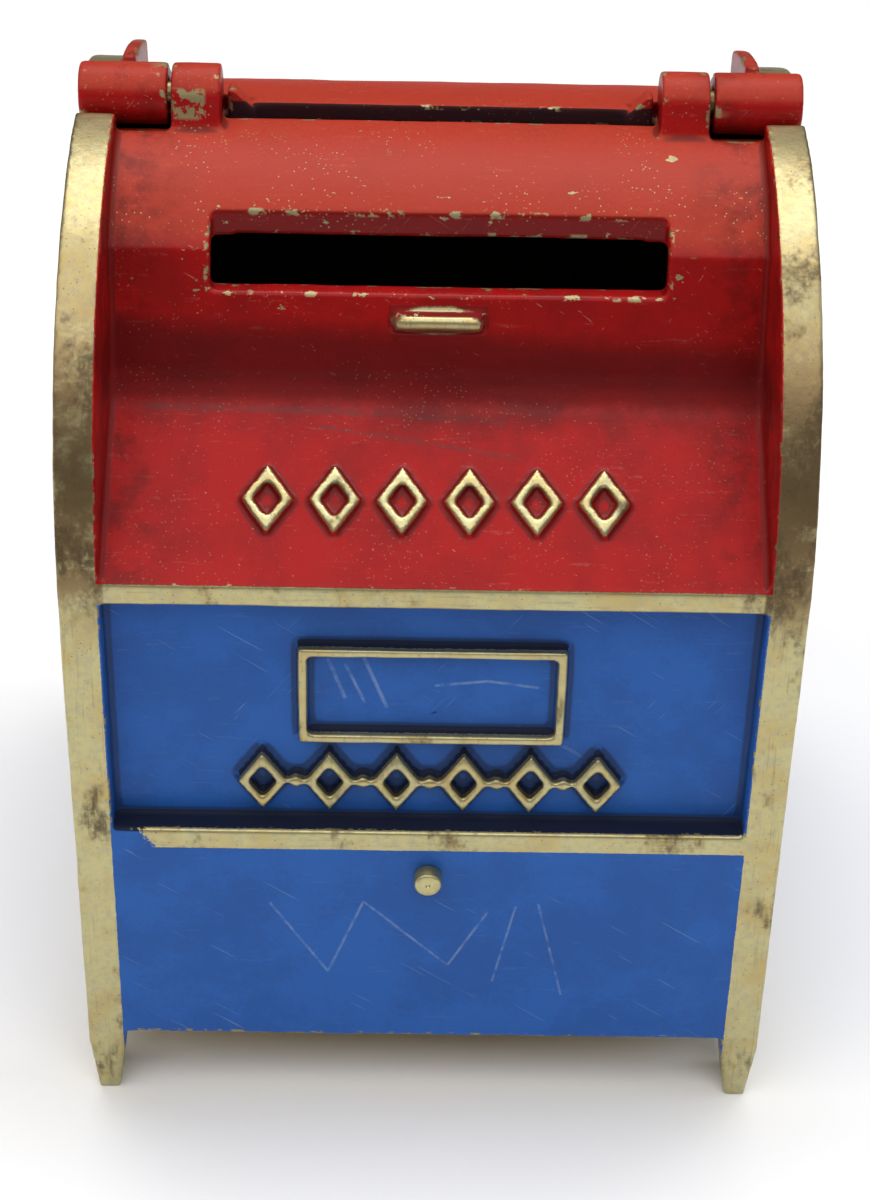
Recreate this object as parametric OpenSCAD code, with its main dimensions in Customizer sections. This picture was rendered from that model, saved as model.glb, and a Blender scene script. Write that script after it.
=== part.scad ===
// Desk dispenser for coil stamps, cast in brass in the shape of a street mailbox.
// Two cast half shells are hinged at the crown; the front half swings up to load a coil.
// Millimetres, +Z up, the front faces -Y, the feet stand on z = 0.
// Profiles are drawn in a side view: first coordinate = distance behind the front plane,
// second coordinate = height.

/* [Body] */
// Width over the side bands
front_w = 47; // [40:0.5:60]
// Depth of the arched body from the front plane to the back of the arch
body_d = 48; // [42:0.5:60]
// Height of the straight sides, where the arch springs
side_h = 41; // [38:0.5:60]
// Width of the bands at the sides, seen from the front
band_w = 2.6; // [2:0.1:4]
// Wall of the hood, door and back
wall = 1.4; // [1:0.1:2]
// Wall of the lower front panel
lower_wall = 1.5; // [1.2:0.1:2.4]
// Depth of the shallow panel in the outer face of each side
side_recess = 0.4; // [0.2:0.1:0.8]
// Gap between the two halves at the parting plane
part_gap = 0.3; // [0.2:0.05:0.5]

/* [Feet] */
// Height of the panels above the surface the feet stand on
panel_clear = 5.3; // [4.8:0.1:9]
// Height of the side plates above that surface
side_clear = 4.6; // [4.4:0.1:8]
// Depth of each foot, front to back
foot_d = 3.4; // [2.5:0.1:6]
// How far the foot's outer and inner faces taper in at the tip
foot_taper = 0.55; // [0.2:0.05:0.8]

/* [Front] */
// Depth of the upper panel behind the front plane
panel_recess = 1.9; // [1:0.1:3]
// Height of the top face of the ledge
ledge_top = 23.6; // [20:0.1:28]
// Height of the ledge's bare face and of the belt under the door
ledge_h = 1.5; // [1:0.1:2.5]
// Height of the belt's lower edge above the spring of the arch
belt_rise = 0.4; // [0:0.1:1]
// Width of the card frame
card_w = 17.3; // [12:0.1:24]
// Height of the card frame
card_h = 7.4; // [5:0.1:9]
// Distance from the belt down to the card frame
card_drop = 3.8; // [2:0.1:6]
// Width of the card frame's bars
card_bar = 0.65; // [0.4:0.05:1.2]
// How far the card frame stands out of the panel
card_rise = 1; // [0.5:0.1:1.8]

/* [Hood] */
// Depth of the hood's crown below the bands
hood_recess = 1.1; // [0.6:0.1:2]
// Radius of the hood's arc
hood_r = 12.3; // [11:0.1:16]
// Distance from the crown forward to the crease
hood_run = 9.8; // [8:0.1:10.5]
// Height of the face between the crease and the valley
face_h = 8.2; // [7:0.1:10]
// How far the face comes forward from the crease to the valley
face_lean = 2.5; // [1:0.1:4]
// Width of the recess around the slot
notch_w = 29; // [24:0.1:34]
// Distance from the hood's crown down to the slot
slot_drop = 4.7; // [4:0.1:6]
// Height of the slot
slot_h = 2.7; // [1.5:0.1:3.2]
// Width of the slot
slot_w = 28.1; // [22:0.1:32]
// Width of the pull nub on the face
nub_w = 5.6; // [3:0.1:9]
// How far the pull nub stands out of the face
nub_rise = 0.9; // [0.4:0.1:1.5]

/* [Ornament] */
// Height of each raised diamond
diamond_h = 4.7; // [3:0.1:6]
// Width of each raised diamond
diamond_w = 3.3; // [2:0.1:4]
// Width of the raised strokes
stroke = 0.6; // [0.4:0.05:1]
// Distance between diamonds on the door
door_pitch = 4.24; // [3.6:0.02:5]
// Relief of the diamonds on the door
door_rise = 0.6; // [0.3:0.05:1]
// Distance between diamonds on the upper panel
panel_pitch = 4.4; // [3.6:0.05:5]
// Diameter of the pellets between the diamonds on the upper panel
pellet_d = 0.9; // [0.5:0.1:1.2]
// Relief of the diamonds on the upper panel
panel_rise = 1.1; // [0.4:0.1:1.8]
// Distance from the card frame down to the diamonds on the upper panel
panel_drop = 0.9; // [0.5:0.1:2]

/* [Hinge] */
// Outer diameter of the hinge barrels
barrel_d = 4; // [3.4:0.1:4.8]
// Height of the hinge axis above the crown of the arch
axis_rise = 0.2; // [0:0.1:0.6]
// Length of each knuckle on the front cover
knuckle_l = 3.2; // [2.4:0.1:4]
// Gap between a knuckle and its barrel
knuckle_gap = 0.25; // [0.15:0.05:0.4]
// Length of each outer barrel on the rear shell
barrel_l = 5.75; // [4:0.05:7]
// Distance of the outer barrel's end inside the side face
barrel_inset = 0.1; // [0:0.05:0.5]
// Diameter of the hinge pins
pin_d = 1.6; // [1.2:0.1:2]
// Length of the hinge pins
pin_l = 8.2; // [7:0.1:8.6]
// Gap around the knuckles and barrels where the other half is notched
notch_gap = 0.3; // [0.2:0.05:0.6]

/* [Rear] */
// How far the rear rims stand above the front bands
rear_rise = 0.9; // [0.4:0.1:1.4]
// Depth of the roof below the front bands' arch
roof_recess = 0.5; // [0.3:0.1:1]
// Distance from the crown back to the roof's front edge
roof_start = 0.7; // [0.4:0.1:1.5]
// How far the fins behind the barrels stand above the rear rims
fin_rise = 1.1; // [0.5:0.1:1.5]
// Thickness of the fins
fin_w = 1; // [0.6:0.1:1.5]

/* [Inside] */
// Thickness of the sheet floor
floor_t = 1; // [0.6:0.1:1.5]
// Height of the floor's underside above the surface the feet stand on
floor_z = 5.5; // [5:0.1:8]
// Gap between the floor and the castings around it
floor_gap = 0.3; // [0.15:0.05:0.6]
// Outer diameter of the four screw bosses
boss_d = 3.6; // [3:0.1:5]
// Length of the four screw bosses
boss_l = 4.5; // [3.5:0.1:6]
// Diameter of the floor screws
screw_d = 1.6; // [1.2:0.1:2]
// Length of the floor screws under the head
screw_l = 4; // [3:0.1:5]
// Width between the ears of the coil cradle
cradle_w = 28; // [26:0.1:34]
// Thickness of the cradle's sheet
cradle_t = 0.8; // [0.6:0.1:1.2]
// Width of the cradle's ears, front to back
ear_d = 9; // [7:0.1:12]
// Distance of the spindle's axis behind the parting plane
spindle_back = 7; // [5:0.1:9]
// Height of the spindle's axis above the floor
spindle_rise = 14.5; // [12:0.1:18]
// Diameter of the spindle's journals
journal_d = 2.4; // [1.8:0.1:3.2]
// Diameter of the spindle between the ears
spindle_d = 5; // [4:0.1:8]
// Diameter of the spindle's end heads
head_d = 4.6; // [4:0.1:7]
// Radial clearance of running and sliding fits
fit_gap = 0.05; // [0.02:0.01:0.1]
// Side play of the spindle between the ears
end_play = 0.3; // [0.2:0.05:0.6]

/* [Catch] */
// Diameter of the stud's head
stud_d = 1.8; // [1.4:0.1:3]
// How far the stud stands out of the lower panel
stud_rise = 1.1; // [0.6:0.1:2]
// Distance from the ledge down to the stud's axis
stud_drop = 3.65; // [2.5:0.05:6]
// Diameter of the stud's shank
shank_d = 1.2; // [0.8:0.1:1.3]
// Outer diameter of the washer behind the spring
washer_d = 3.4; // [2.8:0.1:5]
// Thickness of the washer
washer_t = 0.4; // [0.3:0.05:0.6]
// Width of the catch spring
leaf_w = 6; // [4:0.1:9]
// Thickness of the catch spring
leaf_t = 0.4; // [0.3:0.05:0.5]
// How far the spring's toe reaches back under the floor
toe_l = 1.1; // [0.8:0.05:1.3]

/* [Hidden] */
$fn = 96;
eps = 0.01;
big = 200;
arch_r = body_d / 2;
crown_z = side_h + arch_r;
rim_r = arch_r + rear_rise;
roof_r = arch_r - roof_recess;
half_w = front_w / 2;
inner_w = half_w - band_w;
back_d = body_d + rear_rise;
// The whole object is centred on the origin, from the stud's face to the back of the rims.
front_y = -(back_d - stud_rise) / 2;

barrel_r = barrel_d / 2;
axis_b = arch_r + 0.3;
axis_z = crown_z + axis_rise;
barrel_out = half_w - barrel_inset;
barrel_in = barrel_out - barrel_l;
knuckle_out = barrel_in - knuckle_gap;
knuckle_in = knuckle_out - knuckle_l;
split_b = arch_r;
cover_end = split_b - part_gap / 2;
shell_start = split_b + part_gap / 2;

belt_z0 = side_h + belt_rise;
belt_z1 = belt_z0 + ledge_h;
ledge_bottom = ledge_top - ledge_h;

// Hood line in the side view: arc from the crown to the crease, face, valley, door.
hood_z = crown_z - hood_recess;
hood_c = [arch_r, hood_z - hood_r];
crease_angle = asin(hood_run / hood_r);
crease = hood_c + hood_r * [-sin(crease_angle), cos(crease_angle)];
valley = crease - [face_lean, face_h];
door_foot = [0, belt_z1];
door_angle = atan2(valley[1] - door_foot[1], valley[0] - door_foot[0]);
door_l = norm(valley - door_foot);
face_dir = (crease - valley) / norm(crease - valley);
crease_in = hood_c + (hood_r - wall) * [-sin(crease_angle), cos(crease_angle)];
// Inner faces run parallel to the outer ones, one wall behind them.
door_dir = [cos(door_angle), sin(door_angle)];
door_in = door_foot + wall * [sin(door_angle), -cos(door_angle)];
valley_in = meet(door_in, door_dir, crease_in, face_dir);
upper_in = panel_recess + wall;
door_in_z = door_in[1] + (upper_in - door_in[0]) * tan(door_angle);

slot_z1 = hood_z - slot_drop;
slot_z0 = slot_z1 - slot_h;
// The recess behind the slot's lip goes back to where the arc is one lip height above the slot.
notch_top = slot_z1 + 1.7;
notch_b = hood_c[0] - sqrt(pow(hood_r, 2) - pow(notch_top - hood_c[1], 2));

nub_mid = (crease + valley) / 2;
nub_r = 0.6;
stud_z = ledge_top - stud_drop;
stud_tail = 0.3;
floor_front = lower_wall + leaf_t + floor_gap;
floor_back = arch_r + roof_r - wall - floor_gap;
floor_w = inner_w - floor_gap;
floor_top = floor_z + floor_t;
boss_x = inner_w - boss_d / 2 + 0.4;
boss_b = [shell_start + boss_d / 2 + 1, floor_back - boss_d / 2 - 0.6];
screw_head_d = 2.8;
screw_head_t = 0.55;
spindle_b = split_b + spindle_back;
spindle_z = floor_top + spindle_rise;
ear_top = spindle_z + journal_d;
rivet_d = 1.6;
rivet_head_d = 2.6;
rivet_head_t = 0.5;
rivet_x = cradle_w / 4;

// Point where the line through p along d crosses the line through q along e.
function meet(p, d, q, e) =
    let (det = e[0] * d[1] - e[1] * d[0], w = q - p)
    p + d * ((e[0] * w[1] - e[1] * w[0]) / det);

// Extrudes a side view from x0 to x1 across the body.
module across(x0, x1) {
    translate([x0, front_y, 0])
        rotate([90, 0, 90])
            linear_extrude(x1 - x0) children();
}

// Draws its children on the left and on the right.
module both_sides() {
    children();
    mirror([1, 0, 0]) children();
}

// A rod along X from x0 to x1 with its axis at b, z.
module rod(x0, x1, b, z, d) {
    translate([x0, front_y + b, z]) rotate([0, 90, 0]) cylinder(d = d, h = x1 - x0);
}

// A rod along Y from b0 to b1 with its axis at x, z.
module stub(b0, b1, x, z, d) {
    translate([x, front_y + b0, z]) rotate([-90, 0, 0]) cylinder(d = d, h = b1 - b0);
}

// A box from b0 to b1 and z0 to z1, centred across the body.
module bar(w, b0, b1, z0, z1) {
    translate([-w / 2, front_y + b0, z0]) cube([w, b1 - b0, z1 - z0]);
}

// Side view of the body: straight sides under an arch, grown or shrunk by "grow".
module body_outline(grow) {
    translate([arch_r, side_h]) circle(arch_r + grow);
    translate([-grow, 0]) square([body_d + 2 * grow, side_h]);
}

// Side view of the opening under a side plate, between the front and the rear foot.
module foot_gap(b0, b1) {
    translate([b0, -1]) square([b1 - b0, side_clear + 1]);
}

// Sloping cuts that narrow a foot towards its tip; b0 is the foot's front.
module foot_cuts(b0) {
    taper_h = panel_clear - 1;
    lean = atan(foot_taper / taper_h);
    both_sides() {
        translate([half_w, front_y + b0 - 1, taper_h])
            rotate([0, lean, 0])
                translate([0, 0, -taper_h - 3]) cube([3, foot_d + 2, taper_h + 3]);
        translate([inner_w, front_y + b0 - 1, taper_h])
            rotate([0, -lean, 0])
                translate([-3, 0, -taper_h - 3]) cube([3, foot_d + 2, taper_h + 3]);
    }
}

// Panel sunk into the outer face of each side plate, following the outline.
module side_panels(grow, b0, b1) {
    both_sides() across(half_w - side_recess, half_w + 1) intersection() {
        body_outline(grow - band_w);
        translate([b0, side_clear + band_w]) square([b1 - b0, big]);
    }
}

// Side view of everything the hood, door and front panels cover.
module hood_outline() {
    polygon([[0, panel_clear], [0, ledge_top], [panel_recess, ledge_top],
             [panel_recess, belt_z0], [0, belt_z0], door_foot, valley, crease,
             [hood_c[0], crease[1]], [hood_c[0], panel_clear]]);
    intersection() {
        translate(hood_c) circle(hood_r);
        translate(crease) square([hood_run, big]);
    }
}

// The same one wall further in.
module hood_inside() {
    polygon([[lower_wall, panel_clear - 1], [lower_wall, ledge_bottom], [upper_in, ledge_bottom],
             [upper_in, door_in_z], valley_in, crease_in,
             [hood_c[0] + 1, crease_in[1]], [hood_c[0] + 1, panel_clear - 1]]);
    intersection() {
        translate(hood_c) circle(hood_r - wall);
        translate(crease_in) square([hood_run + 1, big]);
    }
}

// Outline of a raised diamond.
module diamond() {
    slant = sqrt(pow(diamond_w, 2) + pow(diamond_h, 2));
    dx = stroke * slant / diamond_h;
    dy = stroke * slant / diamond_w;
    difference() {
        polygon([[-diamond_w / 2, 0], [0, diamond_h / 2], [diamond_w / 2, 0], [0, -diamond_h / 2]]);
        polygon([[-diamond_w / 2 + dx, 0], [0, diamond_h / 2 - dy],
                 [diamond_w / 2 - dx, 0], [0, -diamond_h / 2 + dy]]);
    }
}

// Six raised diamonds on the sloping door.
module door_ornament() {
    translate([0, front_y, door_foot[1]])
        rotate([door_angle, 0, 0])
            for (i = [-2.5:2.5])
                translate([i * door_pitch, door_l * 0.42, -eps])
                    linear_extrude(door_rise + eps) diamond();
}

// Six raised diamonds and the pellets between them on the upper panel.
module panel_ornament() {
    mid_z = belt_z0 - card_drop - card_h - panel_drop - diamond_h / 2;
    translate([0, front_y + panel_recess + eps, mid_z])
        rotate([90, 0, 0])
            linear_extrude(panel_rise + eps) {
                for (i = [-2.5:2.5]) translate([i * panel_pitch, 0]) diamond();
                for (i = [-2:2]) translate([i * panel_pitch, 0]) circle(d = pellet_d);
            }
}

// Raised frame that holds a card on the upper panel.
module card_frame() {
    top = belt_z0 - card_drop;
    difference() {
        bar(card_w, panel_recess - card_rise, panel_recess + eps, top - card_h, top);
        bar(card_w - 2 * card_bar, 0, panel_recess - eps, top - card_h + card_bar, top - card_bar);
    }
}

// Pull nub: a half-round bar on the hood's face.
module pull_nub() {
    nub_b = nub_mid[0] - nub_rise + nub_r;
    rod(-nub_w / 2, nub_w / 2, nub_b, nub_mid[1], 2 * nub_r);
    bar(nub_w, nub_b, nub_mid[0] + wall, nub_mid[1] - nub_r, nub_mid[1] + nub_r);
}

// Recess around the slot and the slot itself, with round ends.
module slot_cut() {
    end_r = slot_h / 2;
    bar(notch_w, -1, notch_b, slot_z0, notch_top + big / 10);
    bar(slot_w - slot_h, notch_b - 1, arch_r, slot_z0, slot_z1);
    both_sides()
        stub(notch_b - 1, arch_r, slot_w / 2 - end_r, slot_z0 + end_r, slot_h);
}

// Knuckles of the front cover with the web that joins each to the hood.
module knuckles() {
    both_sides() {
        rod(knuckle_in, knuckle_out, axis_b, axis_z, barrel_d);
        across(knuckle_in, knuckle_out)
            polygon([[axis_b - barrel_r, axis_z], [axis_b, axis_z], [axis_b, hood_z - wall],
                     [axis_b - barrel_r - 0.4, hood_z - wall], [axis_b - barrel_r - 0.4, hood_z]]);
    }
}

// Clearance around a hinge member from x0 to x1: a rod and the space on one side of it.
module hinge_notch(x0, x1, b0, b1) {
    both_sides() {
        rod(x0, x1, axis_b, axis_z, barrel_d + 2 * notch_gap);
        across(x0, x1) translate([b0, axis_z - barrel_r]) square([b1 - b0, big]);
    }
}

module front_cover() {
    color("firebrick") difference() {
        union() {
            // Bands and side plates.
            difference() {
                across(-half_w, half_w) intersection() {
                    difference() {
                        body_outline(0);
                        foot_gap(foot_d, body_d);
                    }
                    square([cover_end, big]);
                }
                across(-inner_w, inner_w) translate([-1, -1]) square([big, big]);
            }
            // Hood, door and panels between the bands.
            across(-inner_w - eps, inner_w + eps) intersection() {
                difference() {
                    hood_outline();
                    hood_inside();
                }
                translate([-1, 0]) square([cover_end + 1, big]);
            }
            card_frame();
            panel_ornament();
            door_ornament();
            pull_nub();
        }
        side_panels(0, -1, body_d);
        slot_cut();
        foot_cuts(0);
        hinge_notch(knuckle_out - eps, half_w + 1, axis_b - barrel_r - notch_gap, body_d);
        stub(-1, lower_wall + 1, 0, stud_z, shank_d + 2 * fit_gap);
    }
    color("firebrick") difference() {
        knuckles();
        both_sides() rod(knuckle_out - pin_reach(), knuckle_out + 1, axis_b, axis_z, pin_d + 2 * fit_gap);
    }
}

// Depth of the pin's hole in a knuckle.
function pin_reach() = pin_l - barrel_l - knuckle_gap + 0.2;

// Outer barrels, the webs that carry them and the small lugs beside the knuckles.
module barrels() {
    web_w = inner_w - barrel_in;
    both_sides() {
        rod(barrel_in, barrel_out, axis_b, axis_z, barrel_d);
        across(barrel_in, barrel_out)
            polygon([[axis_b, axis_z - barrel_r], [axis_b, axis_z + barrel_r * 0.7],
                     [axis_b + barrel_r * 0.75, axis_z + barrel_r * 0.66],
                     [axis_b + barrel_r + 1.6, axis_z - 0.2], [axis_b + barrel_r + 1.6, crown_z - 3]]);
    }
    // Lugs: small triangles that stand on the roof's front corners.
    lug_w = 1.2;
    both_sides()
        translate([knuckle_in - notch_gap, front_y + arch_r + roof_start - 0.5, crown_z - roof_recess - wall])
            rotate([90, 0, 0]) mirror([0, 0, 1]) linear_extrude(1.6)
                polygon([[0, 0], [0, wall + 1], [-lug_w * 0.4, wall + 1], [-lug_w - 0.6, wall - 0.3], [-lug_w - 0.6, 0]]);
}

// Fins that stand along the rear rims' inner edges, behind the barrels.
module fins() {
    both_sides() across(inner_w - fin_w, inner_w) intersection() {
        difference() {
            translate([arch_r, side_h]) circle(rim_r + fin_rise);
            translate([arch_r, side_h]) circle(roof_r - wall / 2);
        }
        polygon([[axis_b + barrel_r, crown_z - 4], [axis_b + barrel_r + 0.2, big],
                 [arch_r + 15, big], [arch_r + 10, crown_z - 6]]);
    }
}

module rear_shell() {
    color("royalblue") difference() {
        union() {
            // Rims and side plates.
            difference() {
                across(-half_w, half_w) intersection() {
                    difference() {
                        body_outline(rear_rise);
                        foot_gap(0, back_d - foot_d);
                    }
                    translate([shell_start, 0]) square([big, big]);
                }
                across(-inner_w, inner_w) translate([-1, -1]) square([big, big]);
            }
            // Roof and back between the rims.
            across(-inner_w - eps, inner_w + eps) difference() {
                intersection() {
                    body_outline(-roof_recess);
                    translate([arch_r + roof_start, panel_clear]) square([big, big]);
                }
                body_outline(-roof_recess - wall);
            }
            // Belt across the back, level with the one in front.
            bar(2 * inner_w + 2 * eps, arch_r + roof_r - eps, back_d, belt_z0, belt_z1);
            fins();
            barrels();
            // Bosses for the floor screws.
            both_sides() for (b = boss_b)
                translate([boss_x, front_y + b, floor_top]) cylinder(d = boss_d, h = boss_l);
        }
        side_panels(rear_rise, 0, big);
        foot_cuts(back_d - foot_d);
        hinge_notch(knuckle_in - notch_gap, knuckle_out + knuckle_gap, 0, axis_b + barrel_r + notch_gap);
        both_sides() rod(barrel_in - 1, half_w + 1, axis_b, axis_z, pin_d);
        both_sides() for (b = boss_b)
            translate([boss_x, front_y + b, floor_top - eps])
                cylinder(d = screw_d + 2 * fit_gap, h = screw_l - floor_t + 0.3);
    }
}

module hinge_pin() {
    rod(barrel_out - pin_l, barrel_out, axis_b, axis_z, pin_d);
}

module hinge_pin_left() {
    color("gold") mirror([1, 0, 0]) hinge_pin();
}

module hinge_pin_right() {
    color("gold") hinge_pin();
}

module catch_stud() {
    tail_b = lower_wall + leaf_t + washer_t;
    color("khaki") {
        stub(-stud_rise, 0, 0, stud_z, stud_d);
        stub(-eps, tail_b, 0, stud_z, shank_d);
        stub(tail_b, tail_b + stud_tail, 0, stud_z, stud_d);
    }
}

module catch_washer() {
    color("gold") difference() {
        stub(lower_wall + leaf_t, lower_wall + leaf_t + washer_t, 0, stud_z, washer_d);
        stub(lower_wall, upper_in + 1, 0, stud_z, shank_d + 2 * fit_gap);
    }
}

module catch_spring() {
    toe_z = floor_z - 1;
    color("peru") difference() {
        union() {
            bar(leaf_w, lower_wall, lower_wall + leaf_t, toe_z, stud_z + 1.8);
            bar(leaf_w, lower_wall, lower_wall + leaf_t + toe_l, toe_z, toe_z + leaf_t);
        }
        stub(0, upper_in + 1, 0, stud_z, shank_d + 2 * fit_gap);
    }
}

module floor_plate() {
    color("gold") difference() {
        bar(2 * floor_w, floor_front, floor_back, floor_z, floor_top);
        both_sides() for (b = boss_b)
            translate([boss_x, front_y + b, 0]) cylinder(d = screw_d + 2 * fit_gap, h = big);
        both_sides()
            translate([rivet_x, front_y + spindle_b, 0]) cylinder(d = rivet_d + 2 * fit_gap, h = big);
    }
}

module floor_screws() {
    color("silver") both_sides() for (b = boss_b)
        translate([boss_x, front_y + b, floor_z]) {
            translate([0, 0, -eps]) cylinder(d = screw_d, h = screw_l + eps);
            difference() {
                translate([0, 0, -screw_head_t]) cylinder(d = screw_head_d, h = screw_head_t);
                translate([-screw_head_d, -0.2, -screw_head_t - 1]) cube([2 * screw_head_d, 0.4, 1.25]);
            }
        }
}

// Side view of one ear: a tapered plate with an open slot for the spindle's journal.
module ear_outline() {
    slot_r = journal_d / 2 + fit_gap;
    difference() {
        polygon([[spindle_b - ear_d / 2, floor_top], [spindle_b + ear_d / 2, floor_top],
                 [spindle_b + journal_d * 1.5, ear_top], [spindle_b - journal_d * 1.5, ear_top]]);
        translate([spindle_b, spindle_z]) circle(slot_r);
        translate([spindle_b - slot_r, spindle_z]) square([2 * slot_r, journal_d + 1]);
    }
}

module coil_cradle() {
    color("gold") difference() {
        union() {
            both_sides() across(cradle_w / 2, cradle_w / 2 + cradle_t) ear_outline();
            bar(cradle_w + 2 * cradle_t, spindle_b - ear_d / 2, spindle_b + ear_d / 2,
                floor_top, floor_top + cradle_t);
        }
        both_sides()
            translate([rivet_x, front_y + spindle_b, 0]) cylinder(d = rivet_d + 2 * fit_gap, h = big);
    }
}

module cradle_rivets() {
    top = floor_top + cradle_t;
    color("silver") both_sides() translate([rivet_x, front_y + spindle_b, 0]) {
        translate([0, 0, floor_z - rivet_head_t]) cylinder(d = rivet_head_d, h = rivet_head_t);
        translate([0, 0, floor_z - eps]) cylinder(d = rivet_d, h = top - floor_z + 2 * eps);
        translate([0, 0, top]) cylinder(d = rivet_head_d, h = rivet_head_t);
    }
}

module coil_spindle() {
    ear_in = cradle_w / 2;
    ear_out = ear_in + cradle_t;
    head_l = 1.2;
    color("silver") {
        rod(-ear_out - end_play, ear_out + end_play, spindle_b, spindle_z, journal_d);
        rod(-ear_in + end_play, ear_in - end_play, spindle_b, spindle_z, spindle_d);
        both_sides()
            rod(ear_out + end_play - eps, ear_out + end_play + head_l, spindle_b, spindle_z, head_d);
    }
}

front_cover();
rear_shell();
hinge_pin_left();
hinge_pin_right();
catch_stud();
catch_washer();
catch_spring();
floor_plate();
floor_screws();
coil_cradle();
cradle_rivets();
coil_spindle();
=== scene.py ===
"""The looks of a small cast-brass coil-stamp dispenser shaped like an arched street mailbox.

The two castings are worn red and blue enamel over pale brass. Lengths are in millimetres unless a
comment says otherwise, and MM turns them into metres. The frame is the part's own: X across, Y from
front to back, Z up from the feet; "behind" is the distance behind the front faces of the castings.
"""

import math

import bmesh
import bpy
import numpy as np
from mathutils import Matrix, Vector


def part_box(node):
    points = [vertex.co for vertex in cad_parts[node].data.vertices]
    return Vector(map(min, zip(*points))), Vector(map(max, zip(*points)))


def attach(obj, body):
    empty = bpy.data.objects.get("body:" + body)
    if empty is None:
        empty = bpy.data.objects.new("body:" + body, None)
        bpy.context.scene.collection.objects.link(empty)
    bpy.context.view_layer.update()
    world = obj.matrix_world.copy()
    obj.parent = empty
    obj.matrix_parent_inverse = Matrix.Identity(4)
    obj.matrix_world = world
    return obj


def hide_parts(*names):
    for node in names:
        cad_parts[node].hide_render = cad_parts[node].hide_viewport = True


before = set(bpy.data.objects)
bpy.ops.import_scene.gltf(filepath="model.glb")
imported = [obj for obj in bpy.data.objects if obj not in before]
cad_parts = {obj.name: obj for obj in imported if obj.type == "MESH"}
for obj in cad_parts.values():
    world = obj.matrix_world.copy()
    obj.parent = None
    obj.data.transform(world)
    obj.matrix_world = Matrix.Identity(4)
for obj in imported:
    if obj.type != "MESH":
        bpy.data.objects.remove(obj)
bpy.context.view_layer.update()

MM = 0.001
SEED = 41

# ---------------------------------------------------------------- places, from the frame and the design
cover_low, cover_high = (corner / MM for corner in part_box("front_cover"))
stud_low, stud_high = (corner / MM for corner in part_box("catch_stud"))

# body, across and upwards
FRONT_Y = cover_low.y
HALF_W = cover_high.x
BAND_W = 2.6
INNER_W = HALF_W - BAND_W
SIDE_SUNK = 0.4
BODY_D = 48.0
ARCH_R = 24.0
SIDE_H = 41.0
WALL = 1.4
SIDE_FOOT = 4.6
PANEL_FOOT = 5.3

# front: (lower, upper) heights, (behind, height) points and sizes
PANEL_SUNK = 1.9
BELT = (41.4, 42.9)
LEDGE = (22.1, 23.6)
VALLEY = (11.7, 50.83)
CREASE = (14.2, 59.03)
HOOD_C = (24.0, 51.6)
HOOD_R = 12.3
HOOD_FROM = 60.0
HOOD_END = 22.5
UNDER_HOOD = 62.8
SLOT_Z = (56.5, 60.9)
SLOT_HALF = 14.5
NOTCH_BACK = 15.95
NUB = (12.95, 54.93)
NUB_REACH = (2.85, 0.85)
DOOR_ANGLE = math.atan2(VALLEY[1] - BELT[1], VALLEY[0])

# hinge and roof edge
HINGE = (24.3, 65.2)
BARREL_R = 2.0
HINGE_FROM = 14.0
ROOF_EDGE_Z = (62.0, 64.75)
ROOF_EDGE_HALF = 14.3

# catch stud
STUD_Z = (stud_low.z + stud_high.z) / 2
STUD_RISE = FRONT_Y - stud_low.y
SHANK_R = 0.6

# ---------------------------------------------------------------- how the castings are worked
VOXEL = 0.17
SMOOTHING = 5
CASTING_FACES = 150000
COARSE_LUMPS = (0.035, 3.1)  # height and size
FINE_LUMPS = (0.014, 0.9)
LUMPS_SINK = 0.02
BEND_UNIT = 0.02  # how far three smoothing rounds move a well rounded corner


def front_profile(z):
    """How far behind the front plane the outer face of the cover's middle lies at each height."""
    belt_or_below = [0, LEDGE[1], LEDGE[1] + 0.01, BELT[0], BELT[0] + 0.01, BELT[1]]
    depths = [0, 0, PANEL_SUNK, PANEL_SUNK, 0, 0]
    depth = np.interp(z, belt_or_below + [VALLEY[1], CREASE[1]], depths + [VALLEY[0], CREASE[0]])
    on_arc = np.sqrt(np.maximum(HOOD_R**2 - (z - HOOD_C[1]) ** 2, 0))
    return np.where(z > CREASE[1], HOOD_C[0] - on_arc, depth)


# ---------------------------------------------------------------- mesh work
def add_piece(name, mesh, body, slot, *nodes):
    """A finished mesh as a piece that rides on a body and stands for CAD nodes."""
    piece = bpy.data.objects.new(name, mesh)
    bpy.context.scene.collection.objects.link(piece)
    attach(piece, body)
    if nodes:
        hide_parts(*nodes)
    return piece


def through_modifiers(mesh, *modifiers):
    """The mesh that comes out of a row of (kind, settings) modifiers."""
    holder = bpy.data.objects.new("holder", mesh)
    bpy.context.scene.collection.objects.link(holder)
    for kind, settings in modifiers:
        modifier = holder.modifiers.new(kind, kind)
        for key, value in settings.items():
            setattr(modifier, key, value)
    done = bpy.data.meshes.new_from_object(holder.evaluated_get(bpy.context.evaluated_depsgraph_get()))
    bpy.data.objects.remove(holder)
    return done


def coordinates(mesh):
    """The vertices of a mesh as an array of rows."""
    co = np.empty(len(mesh.vertices) * 3, np.float32)
    mesh.vertices.foreach_get("co", co)
    return co.reshape(-1, 3).astype(float)


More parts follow.
